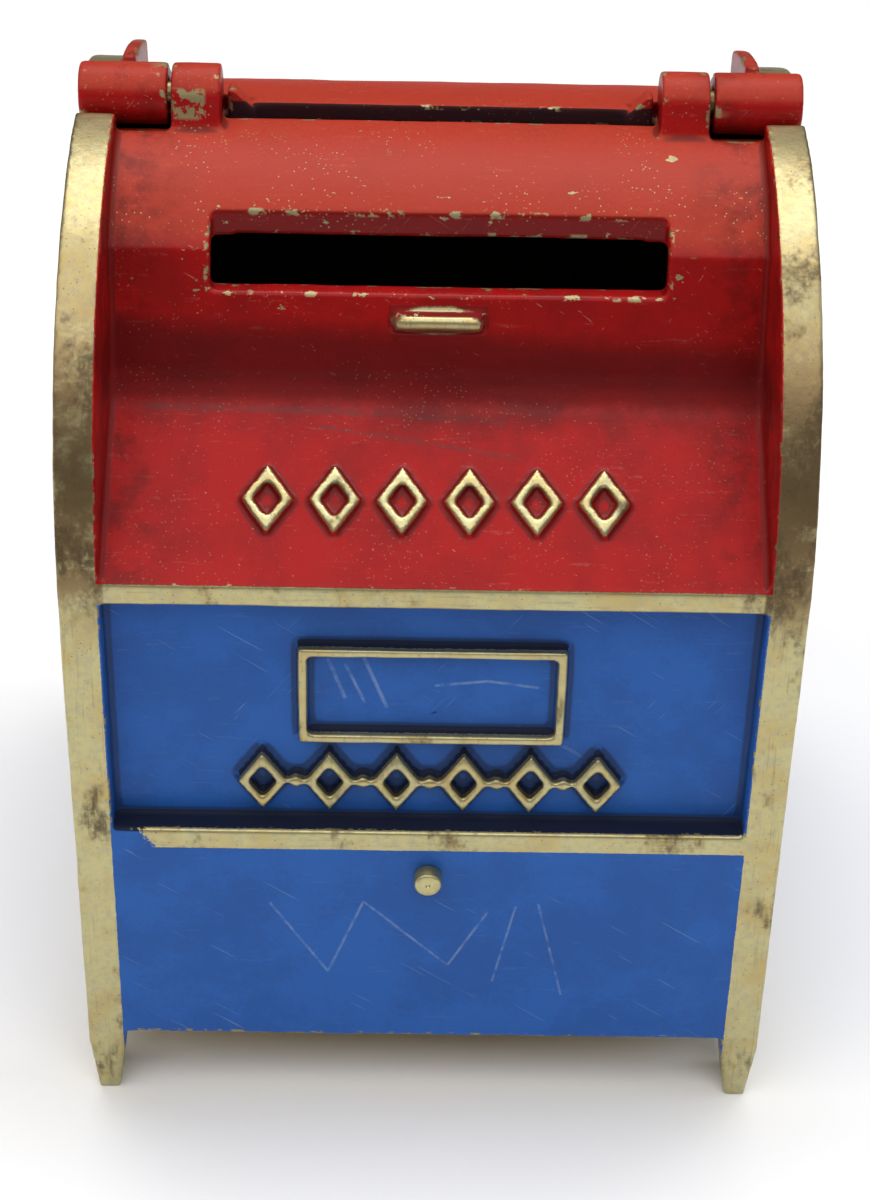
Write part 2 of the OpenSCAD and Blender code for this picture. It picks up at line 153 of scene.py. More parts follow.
def lumps(co, size, seed):
    """Smooth noise from about -1 to 1 at each point, with bumps of the given size."""
    cell = co / size
    low = np.floor(cell).astype(np.int64)
    part = cell - low
    part = part * part * (3 - 2 * part)
    total = np.zeros(len(co))
    for dx in (0, 1):
        for dy in (0, 1):
            for dz in (0, 1):
                corner = low + (dx, dy, dz)
                mixed = (corner * (73856093, 19349663, 83492791)).sum(1) + seed * 2654435761
                mixed = (mixed ^ (mixed >> 13)) * 1274126177 & 0x7FFFFFFF
                height = (mixed ^ (mixed >> 16)) % 65536 / 32768 - 1
                share = np.abs(1 - dx - part[:, 0]) * np.abs(1 - dy - part[:, 1])
                total += height * share * np.abs(1 - dz - part[:, 2])
    return total


def relax(mesh, rounds, strength):
    """Moves each vertex towards its neighbours' middle, by a strength from 0 to 1 at each vertex."""
    edges = np.empty(len(mesh.edges) * 2, np.int32)
    mesh.edges.foreach_get("vertices", edges)
    start, end = edges.reshape(-1, 2).T
    co = coordinates(mesh)
    count = len(co)
    touching = np.bincount(start, minlength=count) + np.bincount(end, minlength=count)
    for _ in range(rounds):
        for axis in range(3):
            line = co[:, axis]
            around = np.bincount(start, line[end], count) + np.bincount(end, line[start], count)
            co[:, axis] = line + strength * (around / np.maximum(touching, 1) - line)
    return co


def store(mesh, name, values):
    """Keeps one number for each vertex, for the material to read."""
    layer = mesh.attributes.new(name, "FLOAT", "POINT")
    layer.data.foreach_set("value", values.astype(np.float32))


def casting(node, softness):
    """A CAD casting with its edges rounded and its faces a little uneven, as a mesh in metres."""
    voxel = VOXEL
    rounds = SMOOTHING
    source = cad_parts[node].data.copy()
    source.transform(Matrix.Scale(1 / MM, 4))
    fine = through_modifiers(source, ("REMESH", {"mode": "VOXEL", "voxel_size": voxel}))
    co = coordinates(fine)
    co = relax(fine, rounds, softness(co))
    normals = np.empty(len(co) * 3, np.float32)
    fine.vertices.foreach_set("co", co.astype(np.float32).ravel())
    fine.update()
    fine.vertex_normals.foreach_get("vector", normals)
    uneven = COARSE_LUMPS[0] * lumps(co, COARSE_LUMPS[1], SEED)
    uneven += FINE_LUMPS[0] * lumps(co, FINE_LUMPS[1], SEED + 1)
    normals = normals.reshape(-1, 3)
    store(fine, "bend", -((relax(fine, 3, 0.5) - co) * normals).sum(1) / BEND_UNIT)
    co += normals * (uneven - LUMPS_SINK)[:, None]
    fine.vertices.foreach_set("co", co.astype(np.float32).ravel())
    kept = min(1.0, CASTING_FACES / (2 * len(fine.polygons)))
    thin = through_modifiers(fine, ("DECIMATE", {"ratio": kept}))
    low, high = (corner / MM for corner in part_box(node))
    co = np.clip(coordinates(thin), low, high)
    thin.vertices.foreach_set("co", (co * MM).astype(np.float32).ravel())
    thin.shade_smooth()
    thin.update()
    for spare in (source, fine):
        bpy.data.meshes.remove(spare)
    return thin


def bevelled(node, width):
    """A copy of a CAD node's mesh with its sharp edges rounded."""
    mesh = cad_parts[node].data.copy()
    mesh.transform(Matrix.Scale(1 / MM, 4))
    work = bmesh.new()
    work.from_mesh(mesh)
    bmesh.ops.remove_doubles(work, verts=work.verts, dist=0.002)
    flat = math.radians(2)
    bmesh.ops.dissolve_limit(work, angle_limit=flat, verts=work.verts, edges=work.edges)
    work.to_mesh(mesh)
    work.free()
    bevel = {"width": width, "segments": 2, "limit_method": "ANGLE", "harden_normals": True}
    done = through_modifiers(mesh, ("BEVEL", bevel))
    done.transform(Matrix.Scale(MM, 4))
    done.shade_smooth()
    done.set_sharp_from_angle(angle=math.radians(40))
    return done


def turned(profile, centre, axis):
    """A solid of revolution: (along, radius) pairs turned about an axis through centre."""
    sides = 48
    work = bmesh.new()
    rings = []
    turn = Vector(axis).to_track_quat("Z", "X")
    for along, radius in profile:
        ring = []
        for k in range(sides if radius > 0 else 1):
            angle = 2 * math.pi * k / sides
            point = Vector((radius * math.cos(angle), radius * math.sin(angle), along))
            ring.append(work.verts.new((Vector(centre) + turn @ point) * MM))
        rings.append(ring)
    for a, b in zip(rings, rings[1:]):
        for k in range(sides):
            quad = [a[k % len(a)], a[(k + 1) % len(a)], b[(k + 1) % len(b)], b[k % len(b)]]
            work.faces.new(list(dict.fromkeys(quad)))
    bmesh.ops.recalc_face_normals(work, faces=work.faces)
    mesh = bpy.data.meshes.new("turned")
    work.to_mesh(mesh)
    work.free()
    mesh.shade_smooth()
    mesh.set_sharp_from_angle(angle=math.radians(50))
    return mesh


# ---------------------------------------------------------------- shader maths
class Field:
    """A number that changes over a surface: an output of one material's nodes."""

    def __init__(self, graph, socket):
        self.graph = graph
        self.socket = socket

    def __add__(self, other):
        return self.graph.maths("ADD", self, other)

    def __sub__(self, other):
        return self.graph.maths("SUBTRACT", self, other)

    def __mul__(self, other):
        return self.graph.maths("MULTIPLY", self, other)

    def __or__(self, other):
        return self.graph.maths("MAXIMUM", self, other)

    def __and__(self, other):
        return self.graph.maths("MULTIPLY", self, other)

    def size(self):
        """The field without its sign."""
        return self.graph.maths("ABSOLUTE", self, 0)

    def inverse(self):
        """0 where the field is 1 and 1 where it is 0."""
        return self.graph.maths("SUBTRACT", 1, self)

    def over(self, edge, soft=0.04):
        """1 where the field is over the edge, with a soft change of the given width."""
        return self.graph.ramp(self, edge - soft / 2, edge + soft / 2)

    def under(self, edge, soft=0.04):
        """1 where the field is under the edge, with a soft change of the given width."""
        return self.graph.ramp(self, edge + soft / 2, edge - soft / 2)

    def within(self, low, high, soft=0.04):
        """1 between two edges, with a soft change at each."""
        return self.over(low, soft) & self.under(high, soft)


class Graph:
    """One material, with short names for the nodes that this script uses."""

    def __init__(self, name):
        self.material = bpy.data.materials.new(name)
        self.material.use_nodes = True
        self.nodes = self.material.node_tree.nodes
        self.links = self.material.node_tree.links
        self.shader = self.nodes["Principled BSDF"]
        place = self.nodes.new("ShaderNodeTexCoord")
        scaled = self.nodes.new("ShaderNodeVectorMath")
        scaled.operation = "SCALE"
        scaled.inputs["Scale"].default_value = 1 / MM
        self.links.new(place.outputs["Object"], scaled.inputs[0])
        self.point = scaled.outputs[0]
        self.x, y, self.z = self.split(self.point)
        self.behind = y - FRONT_Y
        self.nx, self.ny, self.nz = self.split(place.outputs["Normal"])

    def split(self, socket):
        node = self.nodes.new("ShaderNodeSeparateXYZ")
        self.links.new(socket, node.inputs[0])
        return [Field(self, out) for out in node.outputs]

    def feed(self, socket, value):
        """Sets a socket to a number or a colour, or links a field to it."""
        if isinstance(value, Field):
            self.links.new(value.socket, socket)
        elif isinstance(value, bpy.types.NodeSocket):
            self.links.new(value, socket)
        elif isinstance(value, tuple) and len(value) == 3 and socket.type == "RGBA":
            socket.default_value = (*value, 1)
        else:
            socket.default_value = value

    def maths(self, operation, a, b):
        node = self.nodes.new("ShaderNodeMath")
        node.operation = operation
        self.feed(node.inputs[0], a)
        self.feed(node.inputs[1], b)
        return Field(self, node.outputs[0])

    def ramp(self, value, low, high):
        """0 at low, 1 at high and smooth between them; high may be the smaller."""
        node = self.nodes.new("ShaderNodeMapRange")
        node.interpolation_type = "SMOOTHSTEP"
        flip = high < low
        self.feed(node.inputs["Value"], value)
        node.inputs["From Min"].default_value = min(low, high)
        node.inputs["From Max"].default_value = max(low, high)
        node.inputs["To Min"].default_value = 1.0 if flip else 0.0
        node.inputs["To Max"].default_value = 0.0 if flip else 1.0
        return Field(self, node.outputs["Result"])

    def stretched(self, scale, turn=(0, 0, 0), shift=0):
        """The surface point scaled along its axes, or along turned axes, for textures that run one way."""
        node = self.nodes.new("ShaderNodeMapping")
        node.inputs["Location"].default_value = (7.3 * shift, 11.9 * shift, 5.7 * shift)
        node.inputs["Rotation"].default_value = [math.radians(angle) for angle in turn]
        node.inputs["Scale"].default_value = scale
        if any(turn):
            node.vector_type = "TEXTURE"
            node.inputs["Scale"].default_value = [1 / part for part in scale]
        self.links.new(self.point, node.inputs[0])
        return node.outputs[0]

    def noise(self, size, detail, roughness, shift, run=(1, 1, 1), turn=(0, 0, 0)):
        """Cloudy noise from 0 to 1 with features of the given size over run; shift picks another part."""
        node = self.nodes.new("ShaderNodeTexNoise")
        point = self.stretched(run, turn, shift)
        node.inputs["Scale"].default_value = 1 / size
        node.inputs["Detail"].default_value = detail
        node.inputs["Roughness"].default_value = roughness
        self.links.new(point, node.inputs["Vector"])
        return Field(self, node.outputs[0])

    def specks(self, spacing, radius, shift):
        """Scattered round specks: 1 inside a speck."""
        node = self.nodes.new("ShaderNodeTexVoronoi")
        node.inputs["Scale"].default_value = 1 / spacing
        self.links.new(self.stretched((1, 1, 1), shift=shift), node.inputs["Vector"])
        return Field(self, node.outputs["Distance"]).under(radius / spacing, radius / spacing * 0.5)

    def mix(self, share, a, b):
        """Colour a where share is 0 and colour b where it is 1."""
        node = self.nodes.new("ShaderNodeMix")
        node.data_type = "RGBA"
        self.feed(node.inputs["Factor"], share)
        self.feed(node.inputs["A"], a)
        self.feed(node.inputs["B"], b)
        return node.outputs["Result"]

    def blend(self, share, a, b):
        """Number a where share is 0 and number b where it is 1."""
        node = self.nodes.new("ShaderNodeMix")
        self.feed(node.inputs["Factor"], share)
        self.feed(node.inputs["A"], a)
        self.feed(node.inputs["B"], b)
        return Field(self, node.outputs["Result"])

    def attribute(self, name):
        """The number that store() kept under a name at each vertex."""
        node = self.nodes.new("ShaderNodeAttribute")
        node.attribute_name = name
        return Field(self, node.outputs["Fac"])

    def scratch(self, points, width):
        """A fine scratched line through (x, z) points, uneven along its length."""
        across, up = self.x, self.z
        marks = None
        for (x0, z0), (x1, z1) in zip(points, points[1:]):
            length = math.hypot(x1 - x0, z1 - z0)
            ux, uz = (x1 - x0) / length, (z1 - z0) / length
            along = (across - x0) * ux + (up - z0) * uz
            aside = ((across - x0) * -uz + (up - z0) * ux).size()
            part = along.within(0, length, 0.2) & aside.under(width, width)
            marks = part if marks is None else marks | part
        return marks & self.noise(1.4, 3, 0.75, points[0][0]).over(0.46, 0.4)

    def finish(self, colour, metallic, roughness, height, depth):
        """Joins the layers to the shader; height is a field that is depth high at 1."""
        self.feed(self.shader.inputs["Base Color"], colour)
        self.feed(self.shader.inputs["Metallic"], metallic)
        self.feed(self.shader.inputs["Roughness"], roughness)
        self.shader.inputs["Specular IOR Level"].default_value = 0.15
        bump = self.nodes.new("ShaderNodeBump")
        bump.inputs["Strength"].default_value = 1.0
        bump.inputs["Distance"].default_value = depth * MM
        self.feed(bump.inputs["Height"], height)
        self.links.new(bump.outputs[0], self.shader.inputs["Normal"])
        return self.material


# ---------------------------------------------------------------- colours, linear
RED = (0.335, 0.0065, 0.006)
RED_DEEP = (0.25, 0.006, 0.006)
# chalky red with a painted sheen, for the hood
RED_CHALK_AND_SHEEN = (0.38, 0.042, 0.018)
RED_PALE = (0.62, 0.38, 0.30)
# dark red of painted shade and grime
RED_SHADE_AND_GRIME = (0.060, 0.004, 0.004)
BLUE = (0.021, 0.112, 0.42)
BLUE_DEEP = (0.019, 0.092, 0.35)
BLUE_PALE = (0.34, 0.44, 0.62)
# near black of painted shade and grime
DARK_SHADE_AND_GRIME = (0.010, 0.009, 0.012)
BRASS = (0.50, 0.455, 0.235)
BRASS_WARM = (0.47, 0.36, 0.145)
BRASS_GREY = (0.38, 0.36, 0.25)
TARNISH = (0.11, 0.080, 0.045)
BROWN = (0.20, 0.135, 0.068)
CHIP = (0.27, 0.23, 0.13)
RUBBED = (0.085, 0.030, 0.030)
DULL_BRASS = (0.14, 0.105, 0.052)
DULL_DARK = (0.050, 0.036, 0.019)


def brass_layers(g):
    """Bare cast brass: colour, roughness and height, with tarnish, pits and fine scratches."""
    across = g.x.size()
    crossbar = g.z.within(BELT[0], BELT[1]) | g.z.within(LEDGE[0], LEDGE[1])
    level = g.nz.size().under(0.8, 0.3) & crossbar & across.under(INNER_W)
    upright_lines = g.noise(0.22, 2, 0.6, 3, (1, 1, 0.05))
    level_lines = g.noise(0.22, 2, 0.6, 4, (0.05, 1, 1))
    lines = g.blend(level, upright_lines, level_lines)
    cloud = g.noise(3.0, 3, 0.6, 5)
    fleck = g.noise(0.40, 3, 0.7, 7)
    dark = g.noise(3.6, 4, 0.68, 11, (1.0, 1.0, 0.5))
    colour = g.mix(cloud.over(0.54, 0.3) & 0.8, BRASS, BRASS_WARM)
    colour = g.mix(fleck.over(0.55, 0.25) & 0.6, colour, BRASS_GREY)

    # the side bands are browner at the shoulder, partly tarnish and partly a painted dark reflection, and
    # towards the crown
    band = across.over(INNER_W - 0.3, 0.2)
    shoulder = g.z.within(41, 57, 7) & g.behind.under(18, 4) & band
    crown = g.z.over(52, 8) & g.behind.under(22, 3) & band
    colour = g.mix(shoulder & (cloud + (fleck * 0.5)).over(0.62, 0.35) & 0.95, colour, BROWN)
    colour = g.mix(crown & 0.4, colour, BROWN)

    pits = g.specks(0.42, 0.05, 13) & cloud.over(0.45, 0.2)
    tarnished = (dark + (shoulder * 0.08)).over(0.62, 0.14) & (fleck + (lines * 0.5)).over(0.62, 0.5)
    colour = g.mix((tarnished & 0.8) | (pits & 0.7), colour, TARNISH)
    colour = g.mix(lines.over(0.64, 0.1) & 0.22, colour, BROWN)
    rough = g.blend(tarnished, g.blend(fleck, 0.34, 0.52), 0.62)
    return colour, rough, (lines * 0.35) + (fleck * 0.65)


def bare_places(g, wobble, fray):
    """1 where the castings show brass by design: rims, belt, ledge and every raised ornament."""
    x, z, behind = g.x.size(), g.z, g.behind

    # rims: everything outside the inner walls but the sunk sides and the barrels
    edge_x = x + (wobble * 0.2) + (fray * 0.3)
    hinge_b, hinge_z = behind - HINGE[0], z - HINGE[1]
    to_hinge = hinge_b * hinge_b + hinge_z * hinge_z
    hinge = to_hinge.under((BARREL_R + 0.35) ** 2, 0.4) & x.over(HINGE_FROM, 0.1)
    side = g.nx.size().over(0.6, 0.2) & x.over(HALF_W - 1)
    sunk = edge_x.under(HALF_W - SIDE_SUNK * 0.45, 0.05) & side & z.over(SIDE_FOOT)
    rim = edge_x.over(INNER_W + 0.14, 0.05) & sunk.inverse() & hinge.inverse()

    # belt and ledge, with a daub of blue over the ledge's left end
    row = z + (fray * 0.25)
    proud = (behind + (fray * 0.6)).under(0.28, 0.06) | behind.over(BODY_D - 0.4, 0.1)
    belt = row.within(BELT[0] - 0.02, BELT[1] + 0.02, 0.05) & proud
    ragged = g.x + (z * 0.5) + (wobble * 3.0) + (fray * 5.0)
    clear_of_daub = ragged.over(LEDGE[0] * 0.5 - 18.3, 0.3)
    ledge = row.within(LEDGE[0] - 0.02, LEDGE[1] + 0.02, 0.05) & proud & clear_of_daub

    # card frame and ornament on the upper panel, ornament on the door, and the nub
    panel = z.within(LEDGE[1] + 0.1, BELT[0] - 0.1) & x.under(INNER_W - 0.4)
    raised = panel & (behind + (fray * 0.9)).under(PANEL_SUNK - 0.55, 0.12)
    door = z.within(BELT[1] + 0.6, VALLEY[1] - 1) & behind.under(VALLEY[0] - 1) & x.under(INNER_W - 0.6)
    off_door = (z - BELT[1]) * math.cos(DOOR_ANGLE) - behind * math.sin(DOOR_ANGLE)
    door_raised = door & (off_door + (fray * 0.9)).over(0.30, 0.12)
    nub_x, nub_z = g.x * (1 / NUB_REACH[0]), (z - NUB[1]) * (1 / NUB_REACH[1])
    nub = (nub_x * nub_x + nub_z * nub_z + (wobble * 1.2) + fray).under(1.0, 0.35)
    nub = nub & behind.under(NUB[0] + 0.4) & g.nz.under(0.93, 0.08)
    return rim | belt | ledge | raised | door_raised | nub


def knocked_places(g, bend, hood):
    """1 where the enamel is knocked off: outward corners, the lower edge, the slot and the hood."""
    x, z, behind = g.x.size(), g.z, g.behind
    corners = bend.over(0.35, 0.3) & g.noise(1.6, 3, 0.7, 21).over(0.60, 0.06)
    foot = z.under(PANEL_FOOT + 0.22, 0.1) & behind.under(1)
    foot_chips = foot & g.noise(0.9, 3, 0.7, 22).over(0.58, 0.05)
    slot = z.within(SLOT_Z[0] - 1.4, SLOT_Z[1] + 1.2) & x.under(SLOT_HALF + 1.8) & behind.under(20)
    slot_chips = slot & (g.noise(0.8, 3, 0.65, 23, (0.6, 1, 1)) + (bend * 0.07)).over(0.675, 0.03)
    patches = hood & g.noise(2.0, 3, 0.6, 26, (0.6, 1, 1)).over(0.70, 0.02)
    clusters = g.noise(5.0, 1, 0.5, 24).over(0.54, 0.08) & g.nx.size().under(0.5)
    specks = g.specks(0.36, 0.055, 25) & clusters & (hood | z.over(BELT[1]) & 0.25)
    left_knuckle = g.x.within(-17.6, -15.2, 0.3) & z.within(64.4, 66.2, 0.3) & behind.under(HINGE[0])
    worn = left_knuckle & g.noise(0.8, 3, 0.6, 27).over(0.48, 0.05)
    return corners | foot_chips | slot_chips | patches | worn | (specks & 0.75)


def all_scratches(g, *strokes):
    """Several scratched lines, each a width and its (x, z) points."""
    marks = None
    for width, *points in strokes:
        mark = g.scratch(points, width)
        marks = mark if marks is None else marks | mark
    return marks


def scribbles(g):
    """Lines scratched by hand into the blue enamel: a zigzag below the ledge and strokes in the frame."""
    marks = all_scratches(
        g,
        (0.09, (-10.6, 17.4), (-6.7, 11.3), (-4.3, 17.6), (1.5, 12.0), (4.1, 16.8)),
        (0.08, (4.6, 10.6), (6.0, 17.4)),
        (0.08, (7.5, 17.6), (9.4, 9.4)),
        (0.12, (-6.7, 36.3), (-5.6, 33.2)),
        (0.10, (-5.6, 35.9), (-4.3, 32.8)),
        (0.12, (-4.4, 36.4), (-2.9, 32.5)),
        (0.10, (0.2, 34.3), (3.6, 34.7), (6.9, 34.2)),
    )
    return marks & g.behind.under(PANEL_SUNK + 0.2) & g.ny.under(-0.6, 0.2)


def rubbed_lines(g):
    """Two long thin dark lines rubbed across the upper part of the door."""
    lines = all_scratches(
        g,
        (0.13, (-18.5, 49.9), (-6.0, 49.75), (4.4, 49.45)),
        (0.08, (-7.7, 49.2), (5.3, 48.0)),
    )
    return lines & g.z.over(BELT[1] + 1) & g.behind.under(VALLEY[0]) & g.x.size().under(INNER_W)


def hairlines(g, haze):
    """Fine straight scratches in two directions, and faint wisps that run across."""
    hair = g.noise(0.16, 1, 0.5, 41, (0.03, 1, 1), turn=(0, 34, 0)).over(0.765, 0.05)
    hair = hair | g.noise(0.16, 1, 0.5, 42, (0.03, 1, 1), turn=(0, -52, 0)).over(0.77, 0.05)
    wisps = g.noise(1.0, 2, 0.7, 44, (0.25, 2.5, 2.5)).over(0.67, 0.1) & haze.over(0.5, 0.2)
    return hair | (wisps & 0.3)


def shaded_middle(g, wobble, clouds):
    """Painted shade on the middle of the front, partly grime, and the share of it that is also matt."""
    x, z, behind = g.x.size(), g.z, g.behind
    middle = x.under(INNER_W + 0.1, 0.05)
    face = z.within(VALLEY[1], CREASE[1], 0.6) & behind.within(9.8, 15, 0.5)
    notch = z.within(SLOT_Z[0] + 2.6, SLOT_Z[1] + 0.3, 0.2) & x.under(SLOT_HALF + 0.2)
    notch = notch & behind.over(NOTCH_BACK - 0.5, 0.3) & behind.under(16.6) & g.ny.under(-0.85, 0.15)
    sag = z + (wobble * 2) + (clouds * 2.4) + (g.x * 0.03) - 1.2
    hollow = sag.within(VALLEY[1] - 0.9, VALLEY[1] + 3.4, 2.4) & behind.within(7.5, 13.4, 0.5)
    fillet = (z + (wobble * 0.8)).within(VALLEY[1] - 0.8, VALLEY[1] + 0.6, 1.1)
    fillet = fillet & behind.within(9.9, 12.8, 0.4)
    above_nub = z.within(NUB[1], NUB[1] + 1.2, 0.2) & x.under(NUB_REACH[0] + 0.3)
    above_nub = above_nub & behind.under(NUB[0] + 0.3)
    # painted shade on the face under the crease, at the back of the slot, in the valley and its fillet,
    # and just above the nub
    shade = (face & 0.12) | (notch & 0.55) | (hollow & 0.72) | (fillet & 0.7) | (above_nub & 0.6)
    return shade & middle, (fillet | above_nub) & middle


def enamel_material():
    """Worn red and blue enamel over brass, placed by the castings' own heights and depths."""
    g = Graph("enamel_on_brass")
    wobble = (g.noise(0.9, 3, 0.6, 1) - 0.5) * 0.5
    fray = (g.noise(0.22, 2, 0.6, 2) - 0.5) * 0.3
    x, z, behind = g.x.size(), g.z, g.behind
    bend, inside = g.attribute("bend"), g.attribute("inside").over(0.5, 0.2)
    hood = z.over(HOOD_FROM, 1.0) & behind.under(HOOD_END, 0.5)
    bare = bare_places(g, wobble, fray)
    metal = bare | knocked_places(g, bend, hood) | inside

    # the two colours, chalky on the hood and with a painted sheen where it faces up
    clouds = g.noise(5.5, 3, 0.6, 31)
    haze = g.noise(0.35, 3, 0.7, 32)
    chalk_and_sheen = z.over(CREASE[1] + 0.4, 1.2) & g.nz.over(0.45, 0.4)
    red = g.mix(clouds.over(0.55, 0.3), RED, RED_DEEP)
    red = g.mix(chalk_and_sheen & g.blend(haze, 0.45, 0.95), red, RED_CHALK_AND_SHEEN)
    blue = g.mix((clouds + (haze * 0.3)).over(0.66, 0.25), BLUE, BLUE_DEEP)
    upper = (z + (fray * 0.3)).over((BELT[0] + BELT[1]) / 2, 0.06)
    paint = g.mix(upper, blue, red)

    # scratches and rubbed lines
    scratches = hairlines(g, haze)
    paint = g.mix(scratches & 0.24, paint, g.mix(upper, BLUE_PALE, RED_PALE))
    paint = g.mix(scribbles(g) & 0.36, paint, BLUE_PALE)
    paint = g.mix(rubbed_lines(g) & 0.55, paint, RUBBED)

    # painted shade, partly grime: in the corners, under the hood, beside the side bands and on the ledges
    # that face up; a painted shadow on the roof's front edge
    corner = bend.under(-0.35, 0.4)
    # painted shade, with grime, on the ledges that face up in the shadow of the belt
    facing_up = z.under(BELT[0]) & g.nz.over(0.35, 0.3) & behind.under(PANEL_SUNK + 0.3)
    # painted shade in patches beside the side bands, where the door and hood are sunk between them
    shade_patches = g.noise(2.6, 4, 0.7, 47).over(0.52, 0.25)
    beside = x.under(INNER_W + 0.1, 0.05) & x.over(INNER_W - 3.5, 5.0) & z.over(BELT[1]) & shade_patches
    shade, matt = shaded_middle(g, wobble, clouds)
    shade = shade | (corner & 0.6) | (facing_up & 0.93) | (beside & 0.55)
    paint = g.mix(shade, paint, g.mix(upper, DARK_SHADE_AND_GRIME, RED_SHADE_AND_GRIME))
    # painted shadow on the roof's front edge, under the rear shell's lip
    roof_edge = z.within(ROOF_EDGE_Z[0], ROOF_EDGE_Z[1], 0.1) & behind.within(HOOD_END, 26.5, 0.1)
    roof_edge = roof_edge & g.ny.under(-0.35, 0.3) & x.under(ROOF_EDGE_HALF)
    paint = g.mix(roof_edge & 0.93, paint, DARK_SHADE_AND_GRIME)

    # the brass: dull inside, darker in the corners and in the chips
    brass, brass_rough, brass_height = brass_layers(g)
    dull = g.mix(g.noise(1.6, 4, 0.7, 51).over(0.5, 0.4), DULL_BRASS, DULL_DARK)
    chips = bare.inverse() & inside.inverse()
    brass = g.mix(corner & 0.55, brass, TARNISH)
    brass = g.mix(inside, brass, dull)
    brass = g.mix(chips & 0.6, brass, CHIP)

    paint_rough = g.blend(haze, 0.24, 0.40) + (scratches & 0.15) + (chalk_and_sheen & 0.16) + (facing_up & 0.3)
    paint_rough = paint_rough + ((matt | roof_edge) & 0.5)
    rough = g.blend(metal, paint_rough, g.blend(inside, brass_rough, 0.62) + (chips & 0.15))
    grain = g.noise(0.30, 3, 0.65, 61)
    height = g.blend(metal, grain * 0.6 + 0.5, brass_height * 0.8)
    return g.finish(g.mix(metal, paint, brass), metal, rough, height, 0.025)


def metal_material(name, base, dark, rough, grain, brushed=(1, 1, 1)):
    """Bare metal with clouds of tarnish, brushing along one way and a fine grain."""
    g = Graph(name)
    fine = g.noise(grain, 3, 0.7, 5, brushed)
    spots = g.specks(1.1, 0.12, 9) & g.noise(3.0, 1, 0.5, 8).over(0.5, 0.2)
    stain = g.noise(2.6, 4, 0.65, 3).over(0.52, 0.3)
    colour = g.mix((stain & 0.7) | (spots & 0.6), base, dark)
    roughness = g.blend(stain, g.blend(fine, rough[0], rough[1]), rough[1] + 0.12)
    return g.finish(colour, 1.0, roughness, fine, 0.012)


# ---------------------------------------------------------------- camera, floor and light
def make_camera():
    """The camera above and in front of the object, looking down on it and turned a little."""
    data = bpy.data.cameras.new("camera")
    data.sensor_fit = "AUTO"
    data.sensor_width = 36
    data.lens = 77.8
    data.clip_start = 0.01
    data.clip_end = 10
    camera = bpy.data.objects.new("camera", data)
    bpy.context.scene.collection.objects.link(camera)
    across, ahead, height = -2.17, 133.76, 132.25
    pitch, yaw, roll = math.radians(33.94), math.radians(0.94), math.radians(1.42)
    turn = Matrix.Rotation(-yaw, 4, "Z") @ Matrix.Rotation(math.pi / 2 - pitch, 4, "X")
    turn = turn @ Matrix.Rotation(roll, 4, "Z")
    camera.matrix_world = Matrix.Translation(Vector((across, FRONT_Y - ahead, height)) * MM) @ turn
    bpy.context.scene.camera = camera


def make_floor():
    """A plain pale floor under the feet, large enough to fill every view."""
    half = 3.0  # metres
    mesh = bpy.data.meshes.new("floor")
    corners = [(-half, -half, 0), (half, -half, 0), (half, half, 0), (-half, half, 0)]
    mesh.from_pydata(corners, [], [(0, 1, 2, 3)])
    floor = bpy.data.objects.new("floor", mesh)
    bpy.context.scene.collection.objects.link(floor)
    g = Graph("floor_paper")
    tone = g.noise(40, 3, 0.5, 2)
    colour = g.mix(tone, (0.90, 0.90, 0.905), (0.93, 0.93, 0.93))
    mesh.materials.append(g.finish(colour, 0.0, 0.6, g.noise(0.5, 2, 0.5, 3), 0.01))


def soft_box(name, place, aim, size, power, colour=(1, 1, 1)):
    """A rectangular studio light at place, in metres, that faces aim."""
    data = bpy.data.lights.new(name, "AREA")
    data.shape = "RECTANGLE"
    data.size, data.size_y = size
    data.energy = power
    data.color = colour
    light = bpy.data.objects.new(name, data)
    bpy.context.scene.collection.objects.link(light)
    light.location = place
    light.rotation_euler = (Vector(aim) - Vector(place)).to_track_quat("-Z", "Y").to_euler()


def make_light():
    """Soft studio light: a box above the back, a wide one above the front and a weak one each side."""
    world = bpy.data.worlds.new("studio")
    world.use_nodes = True
    world.node_tree.nodes["Background"].inputs["Color"].default_value = (0.96, 0.98, 1.0, 1)
    world.node_tree.nodes["Background"].inputs["Strength"].default_value = 0.09
    bpy.context.scene.world = world
    middle = (0, 0, 0.035)
    soft_box("key", (0.02, 0.15, 0.63), middle, (0.56, 0.30), 3.2)
    soft_box("front", (-0.05, -0.33, 0.55), (0, -0.08, 0), (1.0, 0.40), 2.95, (1.0, 0.98, 0.96))
    soft_box("left", (-0.50, -0.06, 0.22), middle, (0.20, 0.36), 0.5, (1.0, 0.88, 0.74))
    soft_box("right", (0.50, -0.02, 0.30), middle, (0.20, 0.36), 0.6, (0.92, 0.96, 1.0))
    bpy.context.scene.view_settings.view_transform = "Standard"


# ---------------------------------------------------------------- the pieces
def cover_softness(co):
    """How far each part of the front cover is rounded: most in the valley and on the pull nub."""
    behind, z = co[:, 1] - FRONT_Y, co[:, 2]
    near_valley = np.exp(-((behind - VALLEY[0]) ** 2 + (z - VALLEY[1]) ** 2) / 2.0)
    near_nub = np.exp(-((behind - NUB[0]) ** 2 + (z - NUB[1]) ** 2 + (co[:, 0] / 3.2) ** 2) / 1.2)
    uneven = 0.12 * lumps(co, 1.1, SEED + 2)
    return np.clip(0.42 + 0.5 * near_valley + 0.3 * near_nub + uneven, 0.2, 0.9)


def shell_softness(co):
    """How far each part of the rear shell is rounded."""
    return np.clip(0.42 + 0.12 * lumps(co, 1.1, SEED + 3), 0.2, 0.8)


